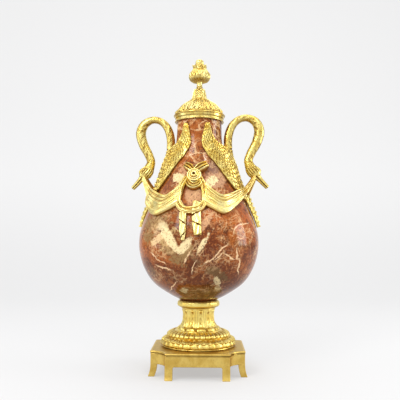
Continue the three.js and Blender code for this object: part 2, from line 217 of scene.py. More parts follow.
def turned(name, parts, around):
    """A piece turned from parts: profile points as radius and height, with an ornament or None. An ornament
    takes the share v along its part and the share u round the axis from the front, and gives its height."""
    piece = Piece(name)
    r, z, h = [], [], []
    u = (np.arange(around) + 0.5) / around
    for points, ornament in parts:
        points = np.asarray(points, float)
        step = np.concatenate([[0], np.cumsum(np.hypot(*np.diff(points, axis=0).T))])
        v = (step / step[-1])[:, None]
        r.append(points[:, 0])
        z.append(points[:, 1])
        h.append(ornament(v, u[None, :]) + 0 * u if ornament else np.zeros((len(points), around)))
    r, z, h = np.concatenate(r), np.concatenate(z), np.concatenate(h)
    dr, dz = np.gradient(r), np.gradient(z)
    size = np.maximum(np.hypot(dr, dz), 1e-9)
    radius = r[:, None] + h * (dz / size)[:, None]
    height = z[:, None] + h * (-dr / size)[:, None]
    angle = math.tau * u[None, :]
    rows = np.stack([radius * np.sin(angle), -radius * np.cos(angle), height + 0 * angle], -1)
    # hollows of the ornament darken the gilding with patina and painted shade
    piece.shell(rows, np.clip((blur(h, 4, True) - h) / 0.45, 0, 1))
    return piece


def gadroons(count, rise):
    """Upright round ridges, closed in a curve at top and bottom."""
    def ornament(v, u):
        x, _ = cell(u, count)
        width = np.sqrt(np.clip(1 - (2 * v - 0.9) ** 6, 0.02, 1))
        return rise * (round_ridge(np.clip(x / (0.94 * width), -1, 1)) - 0.45) * faded(v, 0.12, 0.12)
    return ornament


def leaf(x, y, lobes):
    """Height, 0 to about 1, of an acanthus leaf. x is -1 to 1 across, y is 0 at the root, 1 at the tip."""
    outline = np.clip(np.sin(math.pi * np.clip(0.2 + 0.78 * y, 0, 1)), 0, 1) ** 0.55
    phase = lobes * (y - 0.28 * np.abs(x))
    edge = outline * (0.80 + 0.20 * np.abs(np.cos(math.pi * phase)) ** 0.6)
    inside = np.clip(1 - (np.abs(x) / np.maximum(edge, 1e-3)) ** 2.4, 0, 1)
    folds = 0.20 * np.cos(math.tau * phase) * np.clip(np.abs(x) * 2.5, 0, 1)
    rib = 0.30 * hump(x, 0.09) - 0.16 * hump(np.abs(x) - 0.22, 0.06)
    return np.sqrt(inside) * (0.55 + folds) + rib * (inside > 0) * np.clip(inside * 3, 0, 1)


def leaves(count, rise, lobes, curl, under, down=False):
    """A ring of leaves, with a second ring half a leaf round behind them."""
    def ornament(v, u):
        y = 1 - v if down else v
        x, _ = cell(u, count)
        tip = smooth(y, 0.72, 0.97) * (np.abs(x) < 0.6) * round_ridge(np.clip(x / 0.6, -1, 1))
        front = leaf(x * 1.04, y, lobes) + curl * tip
        x, _ = cell(u + 0.5 / count, count)
        back = under * leaf(x * 1.3, np.clip(y * 1.04, 0, 1), lobes)
        return rise * (np.maximum(front, back) - 0.25) * faded(v, 0.05, 0.05)
    return ornament


def tongues(count, rise):
    """Small upright leaves with a central rib and fine veins."""
    def ornament(v, u):
        x, _ = cell(u, count)
        edge = np.sqrt(np.clip(1 - (1.02 * v) ** 5, 0, 1)) * 0.96
        dome = round_ridge(np.clip(x / np.maximum(edge, 0.02), -1, 1))
        veins = 0.16 * np.cos(math.tau * (3.2 * v - 1.1 * np.abs(x)) * 2) * dome
        rib = 0.30 * hump(x, 0.14) - 0.22 * hump(np.abs(x) - 0.34, 0.10)
        return rise * (0.75 * dome + veins + rib * dome - 0.35) * faded(v, 0.10, 0.06)
    return ornament


def tips(count, rows, rise):
    """Overlapping leaf tips in rows."""
    def ornament(v, u):
        h = scales(rows * (1 - v) + 0.3 + 0 * u, count * u + 0 * v, 0.3) - 0.5
        return rise * h * faded(v, 0.08, 0.06)
    return ornament


def flutes(count, rise):
    """Tall narrow leaves up the stem, hollow in the middle, their feet turned out on the flare."""
    def ornament(v, u):
        x, _ = cell(u, count)
        between, _ = cell(u + 0.5 / count, count)
        between = 0.5 * np.clip(1 - (np.abs(between) / 0.42) ** 2, 0, 1) ** 0.5
        tall = np.clip(1 - (np.abs(x) / (0.92 - 0.25 * v)) ** 2.2, 0, 1) ** 0.5
        hollow = hump(x, 0.30) * smooth(v, 0.34, 0.46) * (1 - smooth(v, 0.86, 0.94))
        cut = 0.5 + 0.5 * np.cos(math.tau * (4 * v + 1.1 * np.abs(x)))
        rib = 0.25 * hump(x, 0.10)
        foot = 0.6 * hump(v - 0.10, 0.06) * (np.abs(x) < 0.75)
        h = np.maximum(tall * (0.80 + 0.16 * cut) - 0.85 * hollow + rib, between) + foot
        return rise * (h - 0.45) * faded(v, 0.05, 0.05)
    return ornament


def make_socle(material):
    low, high = box_mm("socle")
    base, top = low[2], high[2]
    foot = 57.3
    torus = curve(44, (57.2, 42.2), (59.4, 44.6), (59.3, 47.8), (57.3, 51), (53.6, 53.8), (49.2, 55.2))
    band = curve(26, (48.6, 56.5), (49.8, 58.4), (48.6, 60.8), (45.2, 62.9), (40.8, 64.4), (37.6, 64.8))
    stem = curve(84, (35.0, 66.1), (31.8, 68.2), (28.4, 71.6), (26.1, 76.4), (24.9, 83), (24.7, 91),
                 (25.4, 98.6))
    ring = curve(18, (32, 103), (33.3, 104.6), (33.6, 107), (33.2, 109.6), (32, 111.3))
    piece = turned("socle_casting", [
        (line((0.5, base), (foot - 0.5, base)), None),
        (curve(8, (foot - 0.5, base), (foot + 0.4, base + 0.9), (foot - 0.2, base + 2)), None),
        (torus, tips(36, 2.2, 1.7)),
        (curve(5, (48.8, 55.3), (48.0, 55.8), (48.4, 56.4)), None),
        (band, gadroons(36, 1.7)),
        (curve(6, (37, 64.9), (36.6, 65.6), (35.4, 66)), None),
        (stem, flutes(12, 2.0)),
        (bead(26.2, 98.8, 101.0, 1.1, 8), None),
        (curve(8, (27, 101.2), (29.6, 101.9), (32.0, 103)), None),
        (ring, tongues(30, 0.35)),
        (line((31.6, top - 0.6), (30.2, top), 3), None),
        (line((29.8, top), (0.5, top)), None),
    ], around=396)
    piece.build(material, "socle", "bright_gilt", TURN)


def make_collar(material):
    low, high = box_mm("collar")
    radius, bottom, top = high[0], low[2], high[2]
    inner = wall_radius(bottom) + 0.4
    mouth = inner - MARBLE_WALL
    cove = curve(14, (radius - 1.7, bottom + 2.7), (radius - 1.9, bottom + 3.6), (radius - 1.4, top - 0.7),
                 (radius - 0.9, top - 0.1))
    piece = turned("neck_collar", [
        (line((mouth, top - 2), (inner, top - 2)), None),
        (line((inner, top - 2.1), (inner, bottom)), None),
        (line((inner, bottom), (radius - 1.4, bottom)), None),
        (bead(radius - 1.6, bottom + 0.1, bottom + 2.5, 1.5), None),
        (cove, None),
        (line((radius - 1.2, top), (mouth, top)), None),
        (line((mouth, top), (mouth, top - 2)), None),
    ], around=200)
    piece.build(material, "collar", "bright_gilt", TURN)


def make_lid(material):
    low, high = box_mm("lid")
    plug, top, rim = low[2], high[2], high[0]
    seat = plug + 5
    mouth = wall_radius(398) - 10.5
    inside = mouth - 3
    edge = curve(12, (rim - 2.4, seat + 0.1), (rim - 2.0, seat + 1.4), (rim - 1.7, seat + 2.9),
                 (rim - 1.6, seat + 3.5))
    dome = curve(84, (37.4, 408.8), (37.7, 410), (35.6, 413.6), (32.2, 417.6), (28.6, 421.8), (25.4, 424.6),
                 (20.2, 427.6), (15.8, 430.6), (13.2, 433.6))
    spire = curve(48, (12.2, 434), (10.8, 437.4), (10.1, 441.6), (8.9, 446.2), (6.8, 450))
    piece = turned("lid_casting", [
        (line((0.5, 424.2), (12, 422.4)), None),
        (curve(12, (12, 422.4), (18, 419.2), (inside, 413.4)), None),
        (line((inside, 413.4), (inside, plug)), None),
        (line((inside, plug), (mouth, plug)), None),
        (line((mouth, plug), (mouth, seat)), None),
        (line((mouth, seat), (rim - 2.7, seat)), None),
        (edge, None),
        (bead(rim - 1.7, seat + 3.6, seat + 6.1, 1.7), None),
        (curve(3, (rim - 2.9, seat + 6.2), (rim - 3.6, seat + 6.8)), None),
        (dome, leaves(12, 2.2, lobes=6, curl=0.5, under=0.6, down=True)),
        (spire, leaves(8, 2.0, lobes=4, curl=0.5, under=0.6)),
        (curve(6, (6.4, 450.3), (5.6, 451.2), (5.3, top - 0.1)), None),
        (line((5.4, top), (0.5, top)), None),
    ], around=400)
    piece.build(material, "lid", "bright_gilt", TURN)


def make_finial(material):
    low, high = box_mm("finial")
    base, top = low[2], high[2]
    bud = curve(80, (5, 461.4), (9.4, 462), (13.6, 463.8), (16, 467), (16.7, 470.8), (15.8, 474.6),
                (13.4, 477.6), (11.0, 480.6), (10.2, 483))
    crown = curve(18, (10.0, 483.4), (10.6, 485.2), (11.0, 486.6), (10.4, 487.6))
    knob = curve(30, (6.2, 488.4), (7.4, 489.6), (6.2, 490.4), (6.5, 492.6), (5.8, 495.4), (3.4, top - 0.9),
                 (0.5, top - 0.2))
    piece = turned("finial_bud", [
        (line((0.5, base), (5.2, base)), None),
        (curve(16, (5.3, base + 0.1), (4.6, base + 2), (4.3, base + 5), (4.5, base + 8)), None),
        (bud, leaves(10, 1.5, lobes=3, curl=0.3, under=0.8)),
        (crown, leaves(8, 1.6, lobes=2, curl=0.9, under=0.2)),
        (curve(6, (8.6, 487.8), (7.2, 487.9), (5.6, 488.2)), None),
        (knob, gadroons(10, 0.4)),
    ], around=240)
    piece.build(material, "finial", "bright_gilt", TURN)


# ------------------------ marble vessel

# Outside of the marble, as height and radius from its seat on the socle to the rim.
BODY_PROFILE = [
    (112.9, 28.5), (121, 44.5), (137, 68.5), (153, 81.7), (175, 91.6), (201, 96),
    (228, 92.2), (268, 75.9), (305, 57.5), (337, 43.5), (365, 37.2), (399, 35.6),
]


def wall_table():
    """Height and radius of the marble's outside, every quarter millimetre."""
    table = np.array(BODY_PROFILE)
    heights = np.arange(table[0, 0], table[-1, 0], 0.25)
    span = np.diff(table[:, 0])
    ends = np.concatenate([[table[0]], table, [table[-1]]])
    slope = (ends[2:, 1] - ends[:-2, 1]) / (ends[2:, 0] - ends[:-2, 0])
    i = np.clip(np.searchsorted(table[:, 0], heights, side="right") - 1, 0, len(table) - 2)
    w = (heights - table[i, 0]) / span[i]
    v = 1 - w
    radius = (
        table[i, 1] * (1 + 2 * w) * v * v + slope[i] * span[i] * w * v * v
        + table[i + 1, 1] * (3 - 2 * w) * w * w - slope[i + 1] * span[i] * v * w * w
    )
    return heights, radius


WALL_Z, WALL_R = wall_table()
WALL_R *= box_mm("body")[1][1] / WALL_R.max()
WALL_SLOPE = np.gradient(WALL_R, WALL_Z)


def wall_radius(z):
    return np.interp(z, WALL_Z, WALL_R)


def on_wall(degrees, z, h):
    """The point that stands off the wall by h, square to it."""
    slope = np.interp(z, WALL_Z, WALL_SLOPE)
    tilt = np.hypot(1, slope)
    radius = wall_radius(z) + h / tilt
    angle = np.radians(degrees)
    return np.stack([radius * np.sin(angle), -radius * np.cos(angle), z - h * slope / tilt], -1)


def make_body(material):
    low, high = box_mm("body")
    bottom, top = low[2], high[2]
    z = np.linspace(bottom, top, 600)
    length = np.concatenate([[0], np.cumsum(np.hypot(np.diff(wall_radius(z)), np.diff(z)))])
    heights = np.interp(np.linspace(0, 1, 110), length / length[-1], z)  # evenly along the wall
    outside = np.stack([wall_radius(heights), heights], 1)
    inner = on_wall(0, np.linspace(bottom + MARBLE_WALL, top, 40), -MARBLE_WALL)
    inside = np.stack([-inner[:, 1], inner[:, 2]], 1)[::-1]
    inside[0, 1] = top
    piece = turned("marble_vessel", [
        (line((0.5, bottom), (outside[0, 0], bottom)), None),
        (outside, None),
        (inside, None),
        (line(inside[-1], (0.5, VESSEL_FLOOR)), None),
    ], around=200)
    piece.build(material, "body", "marble", TURN)


# ------------------------ reliefs on the wall

def relief(piece, edges, height, along, across, lift=None, span=5):
    """A shell between two edge lines on the wall; s runs along it and t across, both 0 to 1."""
    s, t = np.linspace(0, 1, along + 1), np.linspace(0, 1, across + 1)
    a, b = edges(s)
    off = RELIEF_GAP + (lift(s) if lift else 0 * s)
    big_s, big_t = np.meshgrid(s, t, indexing="ij")
    h = height(big_s, big_t)

    def at(share, thick):
        place = mix(a[:, None], b[:, None], share[None, :, None])
        return on_wall(place[..., 0], place[..., 1], off[:, None] + thick)

    back = np.linspace(1, 0, 5)
    # hollows of the relief darken with patina and painted shade; its back and the edges toward the marble get
    # painted shade
    deep = np.clip((blur(h, span, False) - h) / 0.5, 0, 1)
    back_shade = np.full((along + 1, len(back)), 0.8)
    piece.shell(np.concatenate([at(t, h), at(back, 0)], 1), np.concatenate([deep, back_shade], 1))


def ribbon(piece, points, height, along, across):
    """A ribbon of cloth along a line on the wall: degrees, height and half width at each point."""
    def edges(s):
        middle = spline(points, s)
        way = spline(points, np.clip(s + 0.02, 0, 1)) - spline(points, np.clip(s - 0.02, 0, 1))
        scale = np.radians(wall_radius(middle[:, 1]))
        way[:, 0] *= scale
        way = way[:, :2] / np.hypot(way[:, 0], way[:, 1])[:, None] * middle[:, 2:]
        aside = np.stack([-way[:, 1] / scale, way[:, 0]], 1)
        return middle[:, :2] + aside, middle[:, :2] - aside
    relief(piece, edges, height, along, across)


# ------------------------ swan handles

# Neck and head from the shoulders on: distance from the axis, height, half depth, half width.
NECK = [
    (48.8, 344, 6.2, 6.5), (46.7, 353, 6.6, 7), (46.4, 372, 6.8, 7), (52, 389.4, 6.4, 6.9),
    (63, 400.1, 5.6, 6.6), (77, 402.4, 5.6, 6.6), (90, 395.2, 7.2, 7.3), (95.6, 381, 8.2, 7.7),
    (91.4, 363, 7.8, 7.4), (83.5, 348, 7.1, 7), (78.8, 336, 6.8, 7), (80.2, 328, 7.6, 7.4),
    (83.6, 321, 9.4, 7.9), (88, 315.7, 10.4, 7.8), (91.6, 310.4, 8.4, 6.6), (96, 305.6, 4.9, 4.6),
    (102.4, 298.6, 4.1, 4), (109.4, 291.4, 3.6, 3.6),
]
HEAD, EYE, BILL, BILL_END = 11, 12.75, 13.8, 16.8  # where along NECK, counted in its points
WING_TOP = [(90, 358), (73, 355), (58, 357.5), (47, 362.5), (40, 370.5), (36, 380), (31, 390.6)]
WING_EDGE = [(90, 264), (68, 274), (54, 296), (39, 321.5), (23, 339.5), (12, 359), (21, 389)]
TAIL_LEAVES = [(276, 250, 9.5, 4.5, 9.2), (257, 228, 6.8, 1.2, 8)]  # top, bottom, half widths, rise


def scales(a, b, ribs=0.16):
    """Overlapping feathers, 0 to about 1. a counts rows along their run and b feathers across."""
    row = np.floor(a)
    height = None
    for back in (0, 1):
        u = a - (row - back)
        x, place = cell(b + 0.5 * ((row - back) % 2), 1)
        chance = np.sin(12.9898 * (row - back) + 78.233 * place) * 437.585
        chance = chance - np.floor(chance) - 0.5
        tip = 1.5 - 0.55 * x * x
        one = 0.25 + 0.65 * u / tip - 0.32 * x * x + ribs * hump(x, 0.16) + 0.35 * chance
        one = one - 0.10 * np.abs(np.sin(9 * (u - 0.5 * np.abs(x)))) * (np.abs(x) > 0.2)
        height = one if back == 0 else np.where(u < tip, one, height)
    return height


def swan_neck(piece):
    steps, sides = 260, 48
    s = np.linspace(0, 1, steps + 1)
    path = spline(NECK, s)
    way = np.gradient(path[:, :2], axis=0)
    way /= np.hypot(way[:, 0], way[:, 1])[:, None]
    run = np.concatenate([[0], np.cumsum(np.hypot(*np.diff(path[:, :2], axis=0).T))])[:, None]
    q = s[:, None] * (len(NECK) - 1)
    turn = math.tau * np.arange(sides)[None, :] / sides
    side = np.abs((turn + math.pi) % (math.tau) - math.pi)  # 0 on top of the head, pi under the bill

    body = 1 - smooth(q, HEAD, HEAD + 1.4)
    slant = np.abs(np.sin(math.pi * (run / 3.4 + 1.5 * side)))
    plumage = 0.35 * scales(run / 5.6, turn / (math.tau) * 14) + 0.40 * slant
    crest = 0.5 * np.cos(side * 16 + run * 0.16) * smooth(q, HEAD, HEAD + 1) * (1 - smooth(q, 13.1, 13.9))
    h = (plumage - 0.5) * body * smooth(q, 0, 0.6) + crest * (side > 0.35)
    bill = smooth(q, BILL, BILL + 0.6)
    mouth = hump(side - 1.75, 0.24) * bill
    h = h - 1.7 * mouth + 0.3 * hump(side - 1.4, 0.2) * bill
    h = h - 0.8 * hump(side - 0.85, 0.16) * hump(q - 15.4, 0.22)  # nostril
    h = h - 0.9 * hump(q - 14.25 - 0.35 * np.cos(side), 0.10)  # root of the bill
    h = h + 1.1 * hump(q - 13.4, 0.5) * hump(side - 0.2, 0.5)  # knob over the bill
    h = h - 0.8 * hump(q - 0.95, 0.12) + 0.8 * hump(q - 0.7, 0.12)  # ring at the shoulders
    eye = np.hypot((q - EYE) / 0.28, (side - 1.15) / 0.17)
    h = h + 1.0 * hump(eye, 0.62) - 0.6 * hump(eye - 1.15, 0.28)

    depth, width = path[:, 2:3] + h - 0.1, path[:, 3:4] + h - 0.1
    closing = np.sqrt(np.clip(1 - np.clip((q - BILL_END) / 0.2, 0, 1) ** 2, 0.05, 1))
    away = depth * np.cos(turn) * closing
    rows = np.stack([
        path[:, 0:1] - way[:, 1:2] * away,
        width * np.sin(turn) * closing,
        path[:, 1:2] + way[:, 0:1] * away,
    ], -1)
    # painted shade: dark streaks along the neck and in the slit of the bill; hollows get patina and painted
    # shade, and the eye is dark
    shade_streaks = (0.5 + 0.5 * np.sin(run / 1.9 + 5 * side)) * (0.5 + 0.5 * np.cos(3 * turn + 0.06 * run))
    deep = np.clip((blur(h, 4, True) - h) / 0.4 + 0.75 * shade_streaks * body, 0, 1)
    piece.shell(rows, np.maximum(np.maximum(deep, hump(eye, 1.1)), 0.8 * mouth))


def swan_wings(piece):
    """Breast and both wings, from wing tip to wing tip."""
    def edges(s):
        out = np.abs(2 * s - 1)
        a, b = spline(WING_TOP, out), spline(WING_EDGE, out)
        for p in (a, b):
            p[:, 0] = np.where(s < 0.5, 180 - p[:, 0], p[:, 0])
        return a, b

    def height(s, t):
        out = np.abs(2 * s - 1)
        crown = np.sin(math.pi * (0.12 + 0.76 * t) ** 0.8)
        breast = mix(14.0, 4.0, smooth(out, 0, 0.55)) - 9.5 * t * (1 - out) ** 3
        body = 2.4 + (breast - 2.4) * crown
        coverts = 2.3 * scales(20 * out ** 0.92 + 0.25 * np.sin(5 * t), 11 * t + 0.16 * np.sin(11 * out))
        lanes = 7.0
        x, lane = cell(t, lanes)
        quill = 1.25 * (0.25 + 0.72 * (x * 0.5 + 0.5)) + 0.30 * hump(x - 0.1, 0.16)
        quill = quill - 0.22 * np.abs(np.sin(46 * out + 5 * x))
        second = 1.8 * scales(9 * out + 0.31 * lane, t * lanes * 0.999)
        reach = 0.58 + 0.10 * np.sin(math.pi * t) + 0.03 * np.sin(26 * t)
        long = mix(second, quill, smooth(out, 0.66, 0.74)) - 0.5
        feathers = mix(coverts, long, smooth(out, reach - 0.015, reach + 0.015))
        end = np.sqrt(np.clip(1 - (np.clip((out - 0.93) / 0.07, 0, 1)) ** 2, 0, 1))
        return ((body - 0.8 + feathers) * mix(0.35, 1, rounded(t, 0.07))) * mix(0.3, 1, end)

    relief(piece, edges, height, along=400, across=64, span=3)


def swan_tail(piece):
    for top, bottom, wide, narrow, rise in TAIL_LEAVES:
        def edges(s):
            half = mix(wide, narrow, s ** 1.6)
            z = mix(top, bottom, s)
            return np.stack([90 - half, z], 1), np.stack([90 + half, z], 1)

        def height(s, t):
            x = 2 * t - 1
            body = rise * (0.42 + 0.5 * np.sin(math.pi * t)) * (1 - 0.35 * s)
            vein = 0.96 * np.cos(math.tau * (4 * s - 1.1 * np.abs(x))) * rounded(t, 0.3)
            rib = 0.9 * hump(x, 0.12) - 0.6 * hump(np.abs(x) - 0.28, 0.09)
            return (body + vein + rib) * mix(0.3, 1, rounded(t, 0.12))

        relief(piece, edges, height, along=70, across=30, span=3)


def make_swan(node, turn, material):
    piece = Piece(node + "_casting")
    swan_wings(piece)
    swan_tail(piece)
    swan_neck(piece)
    piece.build(material, node, "bright_gilt", TURN + turn)


# ------------------------ festoons

# Edges of a swag, from the swan's bill to the knot. The front's left one hangs lowest nearer the swan.
SWAG_TOP = [(84, 297), (74, 285.5), (60, 281.5), (45, 277), (32, 274.5), (22, 283), (15, 293)]
SWAG_EDGE = [(83, 292.5), (72, 276), (60, 267.5), (46, 254.5), (32, 244.8), (20, 252), (11, 259)]
SWAG_EDGE_LEFT = [(83, 292.5), (73, 274), (63, 260.5), (52, 247.5), (39, 243.2), (25, 250.5), (15, 258)]
# Folds of a swag: place across it, how far they bow, width, rise, and where they start and stop along it.
FOLDS = [
    (0.06, 0.02, 0.060, 2.6, 0.0, 1.2), (0.22, 0.05, 0.055, 2.3, 0.0, 1.2),
    (0.36, 0.08, 0.050, 1.7, 0.1, 1.2), (0.52, 0.05, 0.055, 1.1, 0.0, 0.55),
    (0.60, -0.06, 0.045, 1.0, 0.55, 1.2), (0.80, 0.03, 0.075, 2.2, 0.0, 1.2),
    (0.93, 0.0, 0.045, 1.5, 0.25, 1.2),
]
ROSETTE_HEIGHT = 302.5
# Half section of the rosette: radius and how far it stands out, from its back to the screw hole.
ROSETTE = [
    (0.2, 0), (10.9, 0), (11.1, 3.2), (10.9, 5.2), (9.9, 6.3), (8.7, 6.0), (8.3, 5.4), (7.6, 6.6),
    (6.6, 7.2), (5.6, 6.6), (5.2, 6.2), (4.8, 8), (3.9, 9), (2.9, 8.8), (2.2, 8.2), (2.0, 4.5), (0.2, 4.4),
]


def swag(piece, side, seed, lower=SWAG_EDGE):
    wander = np.random.default_rng(seed).uniform(-1, 1, 8)

    def edges(s):
        a, b = spline(SWAG_TOP, s), spline(lower, s)
        a[:, 0] *= side
        b[:, 0] *= side
        return a, b

    def height(s, t):
        h = 3.0 + 0.9 * np.sin(math.pi * t)
        sag = np.sin(math.pi * np.clip(s, 0, 1))
        for k, (place, bow, width, rise, start, stop) in enumerate(FOLDS):
            middle = place + bow * sag + 0.015 * wander[k] * np.sin(7 * s + k)
            crest = 1 / (1 + np.abs((t - middle) / width) ** 2.4)
            fades = smooth(s, start - 0.02, start + 0.18) * (1 - smooth(s, stop - 0.2, stop))
            h = h + rise * crest * (0.35 + 0.65 * fades)
        h = h + 0.22 * np.sin(math.tau * (15 * t + 1.5 * s)) * (0.4 + 0.6 * np.abs(np.sin(5 * s)))
        h = h - 2.4 * hump(t - 0.5, 0.10) * smooth(s, 0.02, 0.10) * (1 - smooth(s, 0.22, 0.36))
        h = h + 1.2 * (1 - smooth(s, 0, 0.1))
        return h * mix(0.3, 1, rounded(t, 0.05)) * mix(0.5, 1, rounded(s, 0.03))

    def lift(s):
        """The swag leaves the wall to reach the swan's bill."""
        return 6 * (1 - smooth(s, 0.34, 0.5)) + 20 * (1 - smooth(s, 0, 0.24)) ** 1.3

    relief(piece, edges, height, along=180, across=80, lift=lift, span=4)


def pleated(thick, folds, slope):
    """A hanging end that is folded over itself in a zigzag."""
    def height(s, t):
        x, u, lean = folds * s, folds * s + 0.3, 0 * s
        for k in range(int(folds) + 2):
            way = slope if k % 2 else -slope
            past = x - k - 0.45 * way * (t - 0.5)
            lean = np.where(past >= 0, way, lean)
            u = np.where(past >= 0, past, u)
        u = np.clip(u, 0, 1)
        body = thick * (0.42 + 0.36 * u + 0.16 * np.sin(math.pi * t)) * mix(1, 0.72, s)
        body = body + 0.75 * np.sin(math.tau * (2 * t + 0.6 * lean * u)) * (1 - 0.5 * s)
        body = body - 0.8 * hump(u, 0.06)
        return body * mix(0.35, 1, rounded(t, 0.1)) * mix(0.5, 1, rounded(s, 0.05))
    return height


def ridged(thick, count, fine):
    """A ribbon with round folds along it and finer creases on them."""
    def height(s, t):
        folds = 0.5 - 0.5 * np.cos(math.tau * count * t)
        body = thick * (0.55 + 0.45 * folds) * (0.75 + 0.25 * np.sin(math.pi * s))
        body = body + fine * np.sin(math.tau * (3.3 * count * t + 0.5 * s))
        return body * mix(0.4, 1, rounded(t, 0.12)) * mix(0.5, 1, rounded(s, 0.06))
    return height


def rosette(piece):
    """Rings of petals round a screw hole, square to the wall."""
    sides = 96
    profile = curve(90, *ROSETTE)
    turn = math.tau * np.arange(sides)[None, :] / sides
    r, d = profile[:, 0:1], profile[:, 1:2]
    outer = 0.45 * np.abs(np.cos(turn * 9)) * ((r > 8.6) & (d > 2))
    inner = 0.3 * np.abs(np.cos(turn * 7)) * ((r > 5.4) & (r < 8.4) & (d > 2))
    d = d + outer + inner
    slope = np.interp(ROSETTE_HEIGHT, WALL_Z, WALL_SLOPE)
    normal = np.array([0, -1, -slope]) / math.hypot(1, slope)
    up = np.array([0, normal[2], -normal[1]])
    seat = on_wall(0, ROSETTE_HEIGHT, RELIEF_GAP + 0.6)
    across, upward = r * np.cos(turn), r * np.sin(turn)
    rows = seat + across[..., None] * np.array([1.0, 0, 0]) + upward[..., None] * up + d[..., None] * normal
    # patina and painted shade in the screw hole and the grooves between the rings of petals
    deep = np.clip(1 - smooth(r, 1.9, 2.6), 0, 1) + 0.6 * hump(r - 8.4, 0.35) + 0.6 * hump(r - 5.2, 0.3)
    piece.shell(rows, np.clip(deep * (d > 1), 0, 1))


def make_front_festoon(material):
    piece = Piece("festoon_front")
    swag(piece, 1, 3)
    swag(piece, -1, 8, SWAG_EDGE_LEFT)
    loop_left = [(-10, 301, 3.5), (-15, 289, 5), (-16.5, 276, 5.2), (-16.5, 262, 5.8)]
    loop_right = [(8, 301, 3.5), (11.5, 290, 4.6), (13, 277, 4.8), (13.5, 262, 5.6)]
    loop_foot = [(-15.5, 262, 5.5), (-9.5, 252, 5.5), (-1.5, 249.5, 5.5), (7.5, 253, 5.5), (13, 262, 5)]
    end_right = [(5, 264, 6.4), (4.5, 246, 6.8), (5, 231, 6.4), (6, 214, 5.4)]
    end_left = [(-8.5, 253, 5.2), (-8, 236, 5.4), (-7, 220, 4.8), (-6.5, 206.5, 2)]
    knot = [(-9.5, 297, 3), (-5, 289, 5), (0, 286, 5.5), (6, 289, 5), (10, 297, 3)]
    bow_left = [(0, 308, 4), (-8, 315.5, 6), (-17, 320.5, 4)]
    bow_right = [(0, 308, 4), (9.5, 316, 6.5), (20.5, 321.5, 5)]
    ribbon(piece, loop_left, ridged(6, 2, 0.4), 90, 40)
    ribbon(piece, loop_right, ridged(6, 2, 0.4), 90, 40)
    ribbon(piece, loop_foot, ridged(6.5, 2, 0.45), 100, 44)
    ribbon(piece, end_right, pleated(6.0, 3.0, 1), 120, 44)
    ribbon(piece, end_left, pleated(5.6, 2.6, -1), 120, 40)
    ribbon(piece, knot, ridged(7, 3, 0.3), 80, 44)
    ribbon(piece, bow_left, ridged(8.5, 3, 0.3), 72, 44)
    ribbon(piece, bow_right, ridged(8.5, 3, 0.3), 72, 44)
    rosette(piece)
    piece.build(material, "drapery_front", "bright_gilt", TURN)


def make_back_festoon(material):
    piece = Piece("festoon_back")
    swag(piece, 1, 5)
    swag(piece, -1, 6)
    for side in (1, -1):
        points = [(side * 6, 299, 3.5), (side * 10, 287, 4.6), (side * 13, 268, 6)]
        ribbon(piece, points, ridged(6, 2, 0.3), 80, 30)
    ribbon(piece, [(-14, 262, 5.5), (0, 251, 6), (14, 262, 5.5)], ridged(6, 2, 0.3), 80, 30)
    rosette(piece)
    piece.build(material, "drapery_back", "bright_gilt", TURN + math.pi)


# ------------------------ plinth

PLINTH_HALF = 72.75  # from the axis to the middle of a side
CORNER = 24.0  # radius of the concave corners
SKIRT = 19.4  # lower edge of the skirt
PLINTH_WALL = 5.0


def plinth_outline(inset):
    """Outline seen from above, its faces drawn in by inset: concave round corners, straight sides."""
    steps, flat = 26, 30
    radius = CORNER + inset
    start = math.asin(inset / radius)
    swing = np.linspace(math.pi / 2 - start, start, steps)
    arc = np.stack([-PLINTH_HALF + radius * np.cos(swing), -PLINTH_HALF + radius * np.sin(swing)], 1)
    after = arc @ np.array([[0, 1], [-1, 0]])
    points = []
    for c, s in QUARTERS:
        spin = np.array([[c, s], [-s, c]])
        side = arc @ spin
        points += [side, np.linspace(side[-1], (after @ spin)[0], flat + 2)[1:-1]]
    return softened(np.concatenate(points), 640, 1.3)


def softened(points, count, width):
    """The closed outline again at even steps, its corners rounded off."""
    closed = np.concatenate([points, points[:1]])
    run = np.concatenate([[0], np.cumsum(np.hypot(*np.diff(closed, axis=0).T))])
    even = np.linspace(0, run[-1], count, endpoint=False)
    dense = np.stack([np.interp(even, run, closed[:, k]) for k in (0, 1)], 1)
    step = run[-1] / count
    reach = int(3 * width / step) + 1
    shifts = np.arange(-reach, reach + 1)
    weights = np.exp(-0.5 * (shifts * step / width) ** 2)
    return sum(w * np.roll(dense, k, axis=0) for w, k in zip(weights / weights.sum(), shifts))


def make_plinth(material):
    top = box_mm("plinth")[1][2]
    # How far each ring is drawn in, and its height: inside, skirt, groove, rounded edge, top.
    profile = [(PLINTH_WALL, top - PLINTH_WALL), (PLINTH_WALL, SKIRT), (1.1, SKIRT), (0.7, SKIRT + 0.4)]
    profile += [(0.7, SKIRT + 1), (0.7, 26), (0.7, 31), (0.7, top - 5.2), (0.9, top - 5.0), (1.4, top - 4.8)]
    profile += [(0.35, top - 4.6), (0.2, top - 4.3), (0.35, top - 4.0), (1.5, top - 3.8)]
    for x in np.linspace(-math.pi / 2, math.pi / 2, 14):
        profile.append((2.0 - 2.0 * math.cos(x), top - 1.95 + 1.9 * math.sin(x)))
    profile += [(3.4, top - 0.1), (12, top - 0.1)]
    rows = []
    for inset, z in profile:
        ring = plinth_outline(inset)
        rows.append(np.concatenate([ring, np.full((len(ring), 1), z)], 1))
    rows.append(rows[-1] * [0.3, 0.3, 1])  # under the socle
    profile.append(profile[-1])
    # the top face of the plinth is made darker and a little rougher
    darker_top = np.array([0.28 if inset > 3 and z > SKIRT + 10 else 0.0 for inset, z in profile])
    rows = np.array(rows)
    piece = Piece("plinth_casting")
    piece.shell(rows, np.repeat(darker_top[:, None], rows.shape[1], 1))
    for c, s in QUARTERS:
        for mirror in (1, -1):
            piece.shell(about_axis(foot_block() * [mirror, 1, 1], c, s))
    piece.build(material, "plinth", "satin_gilt")


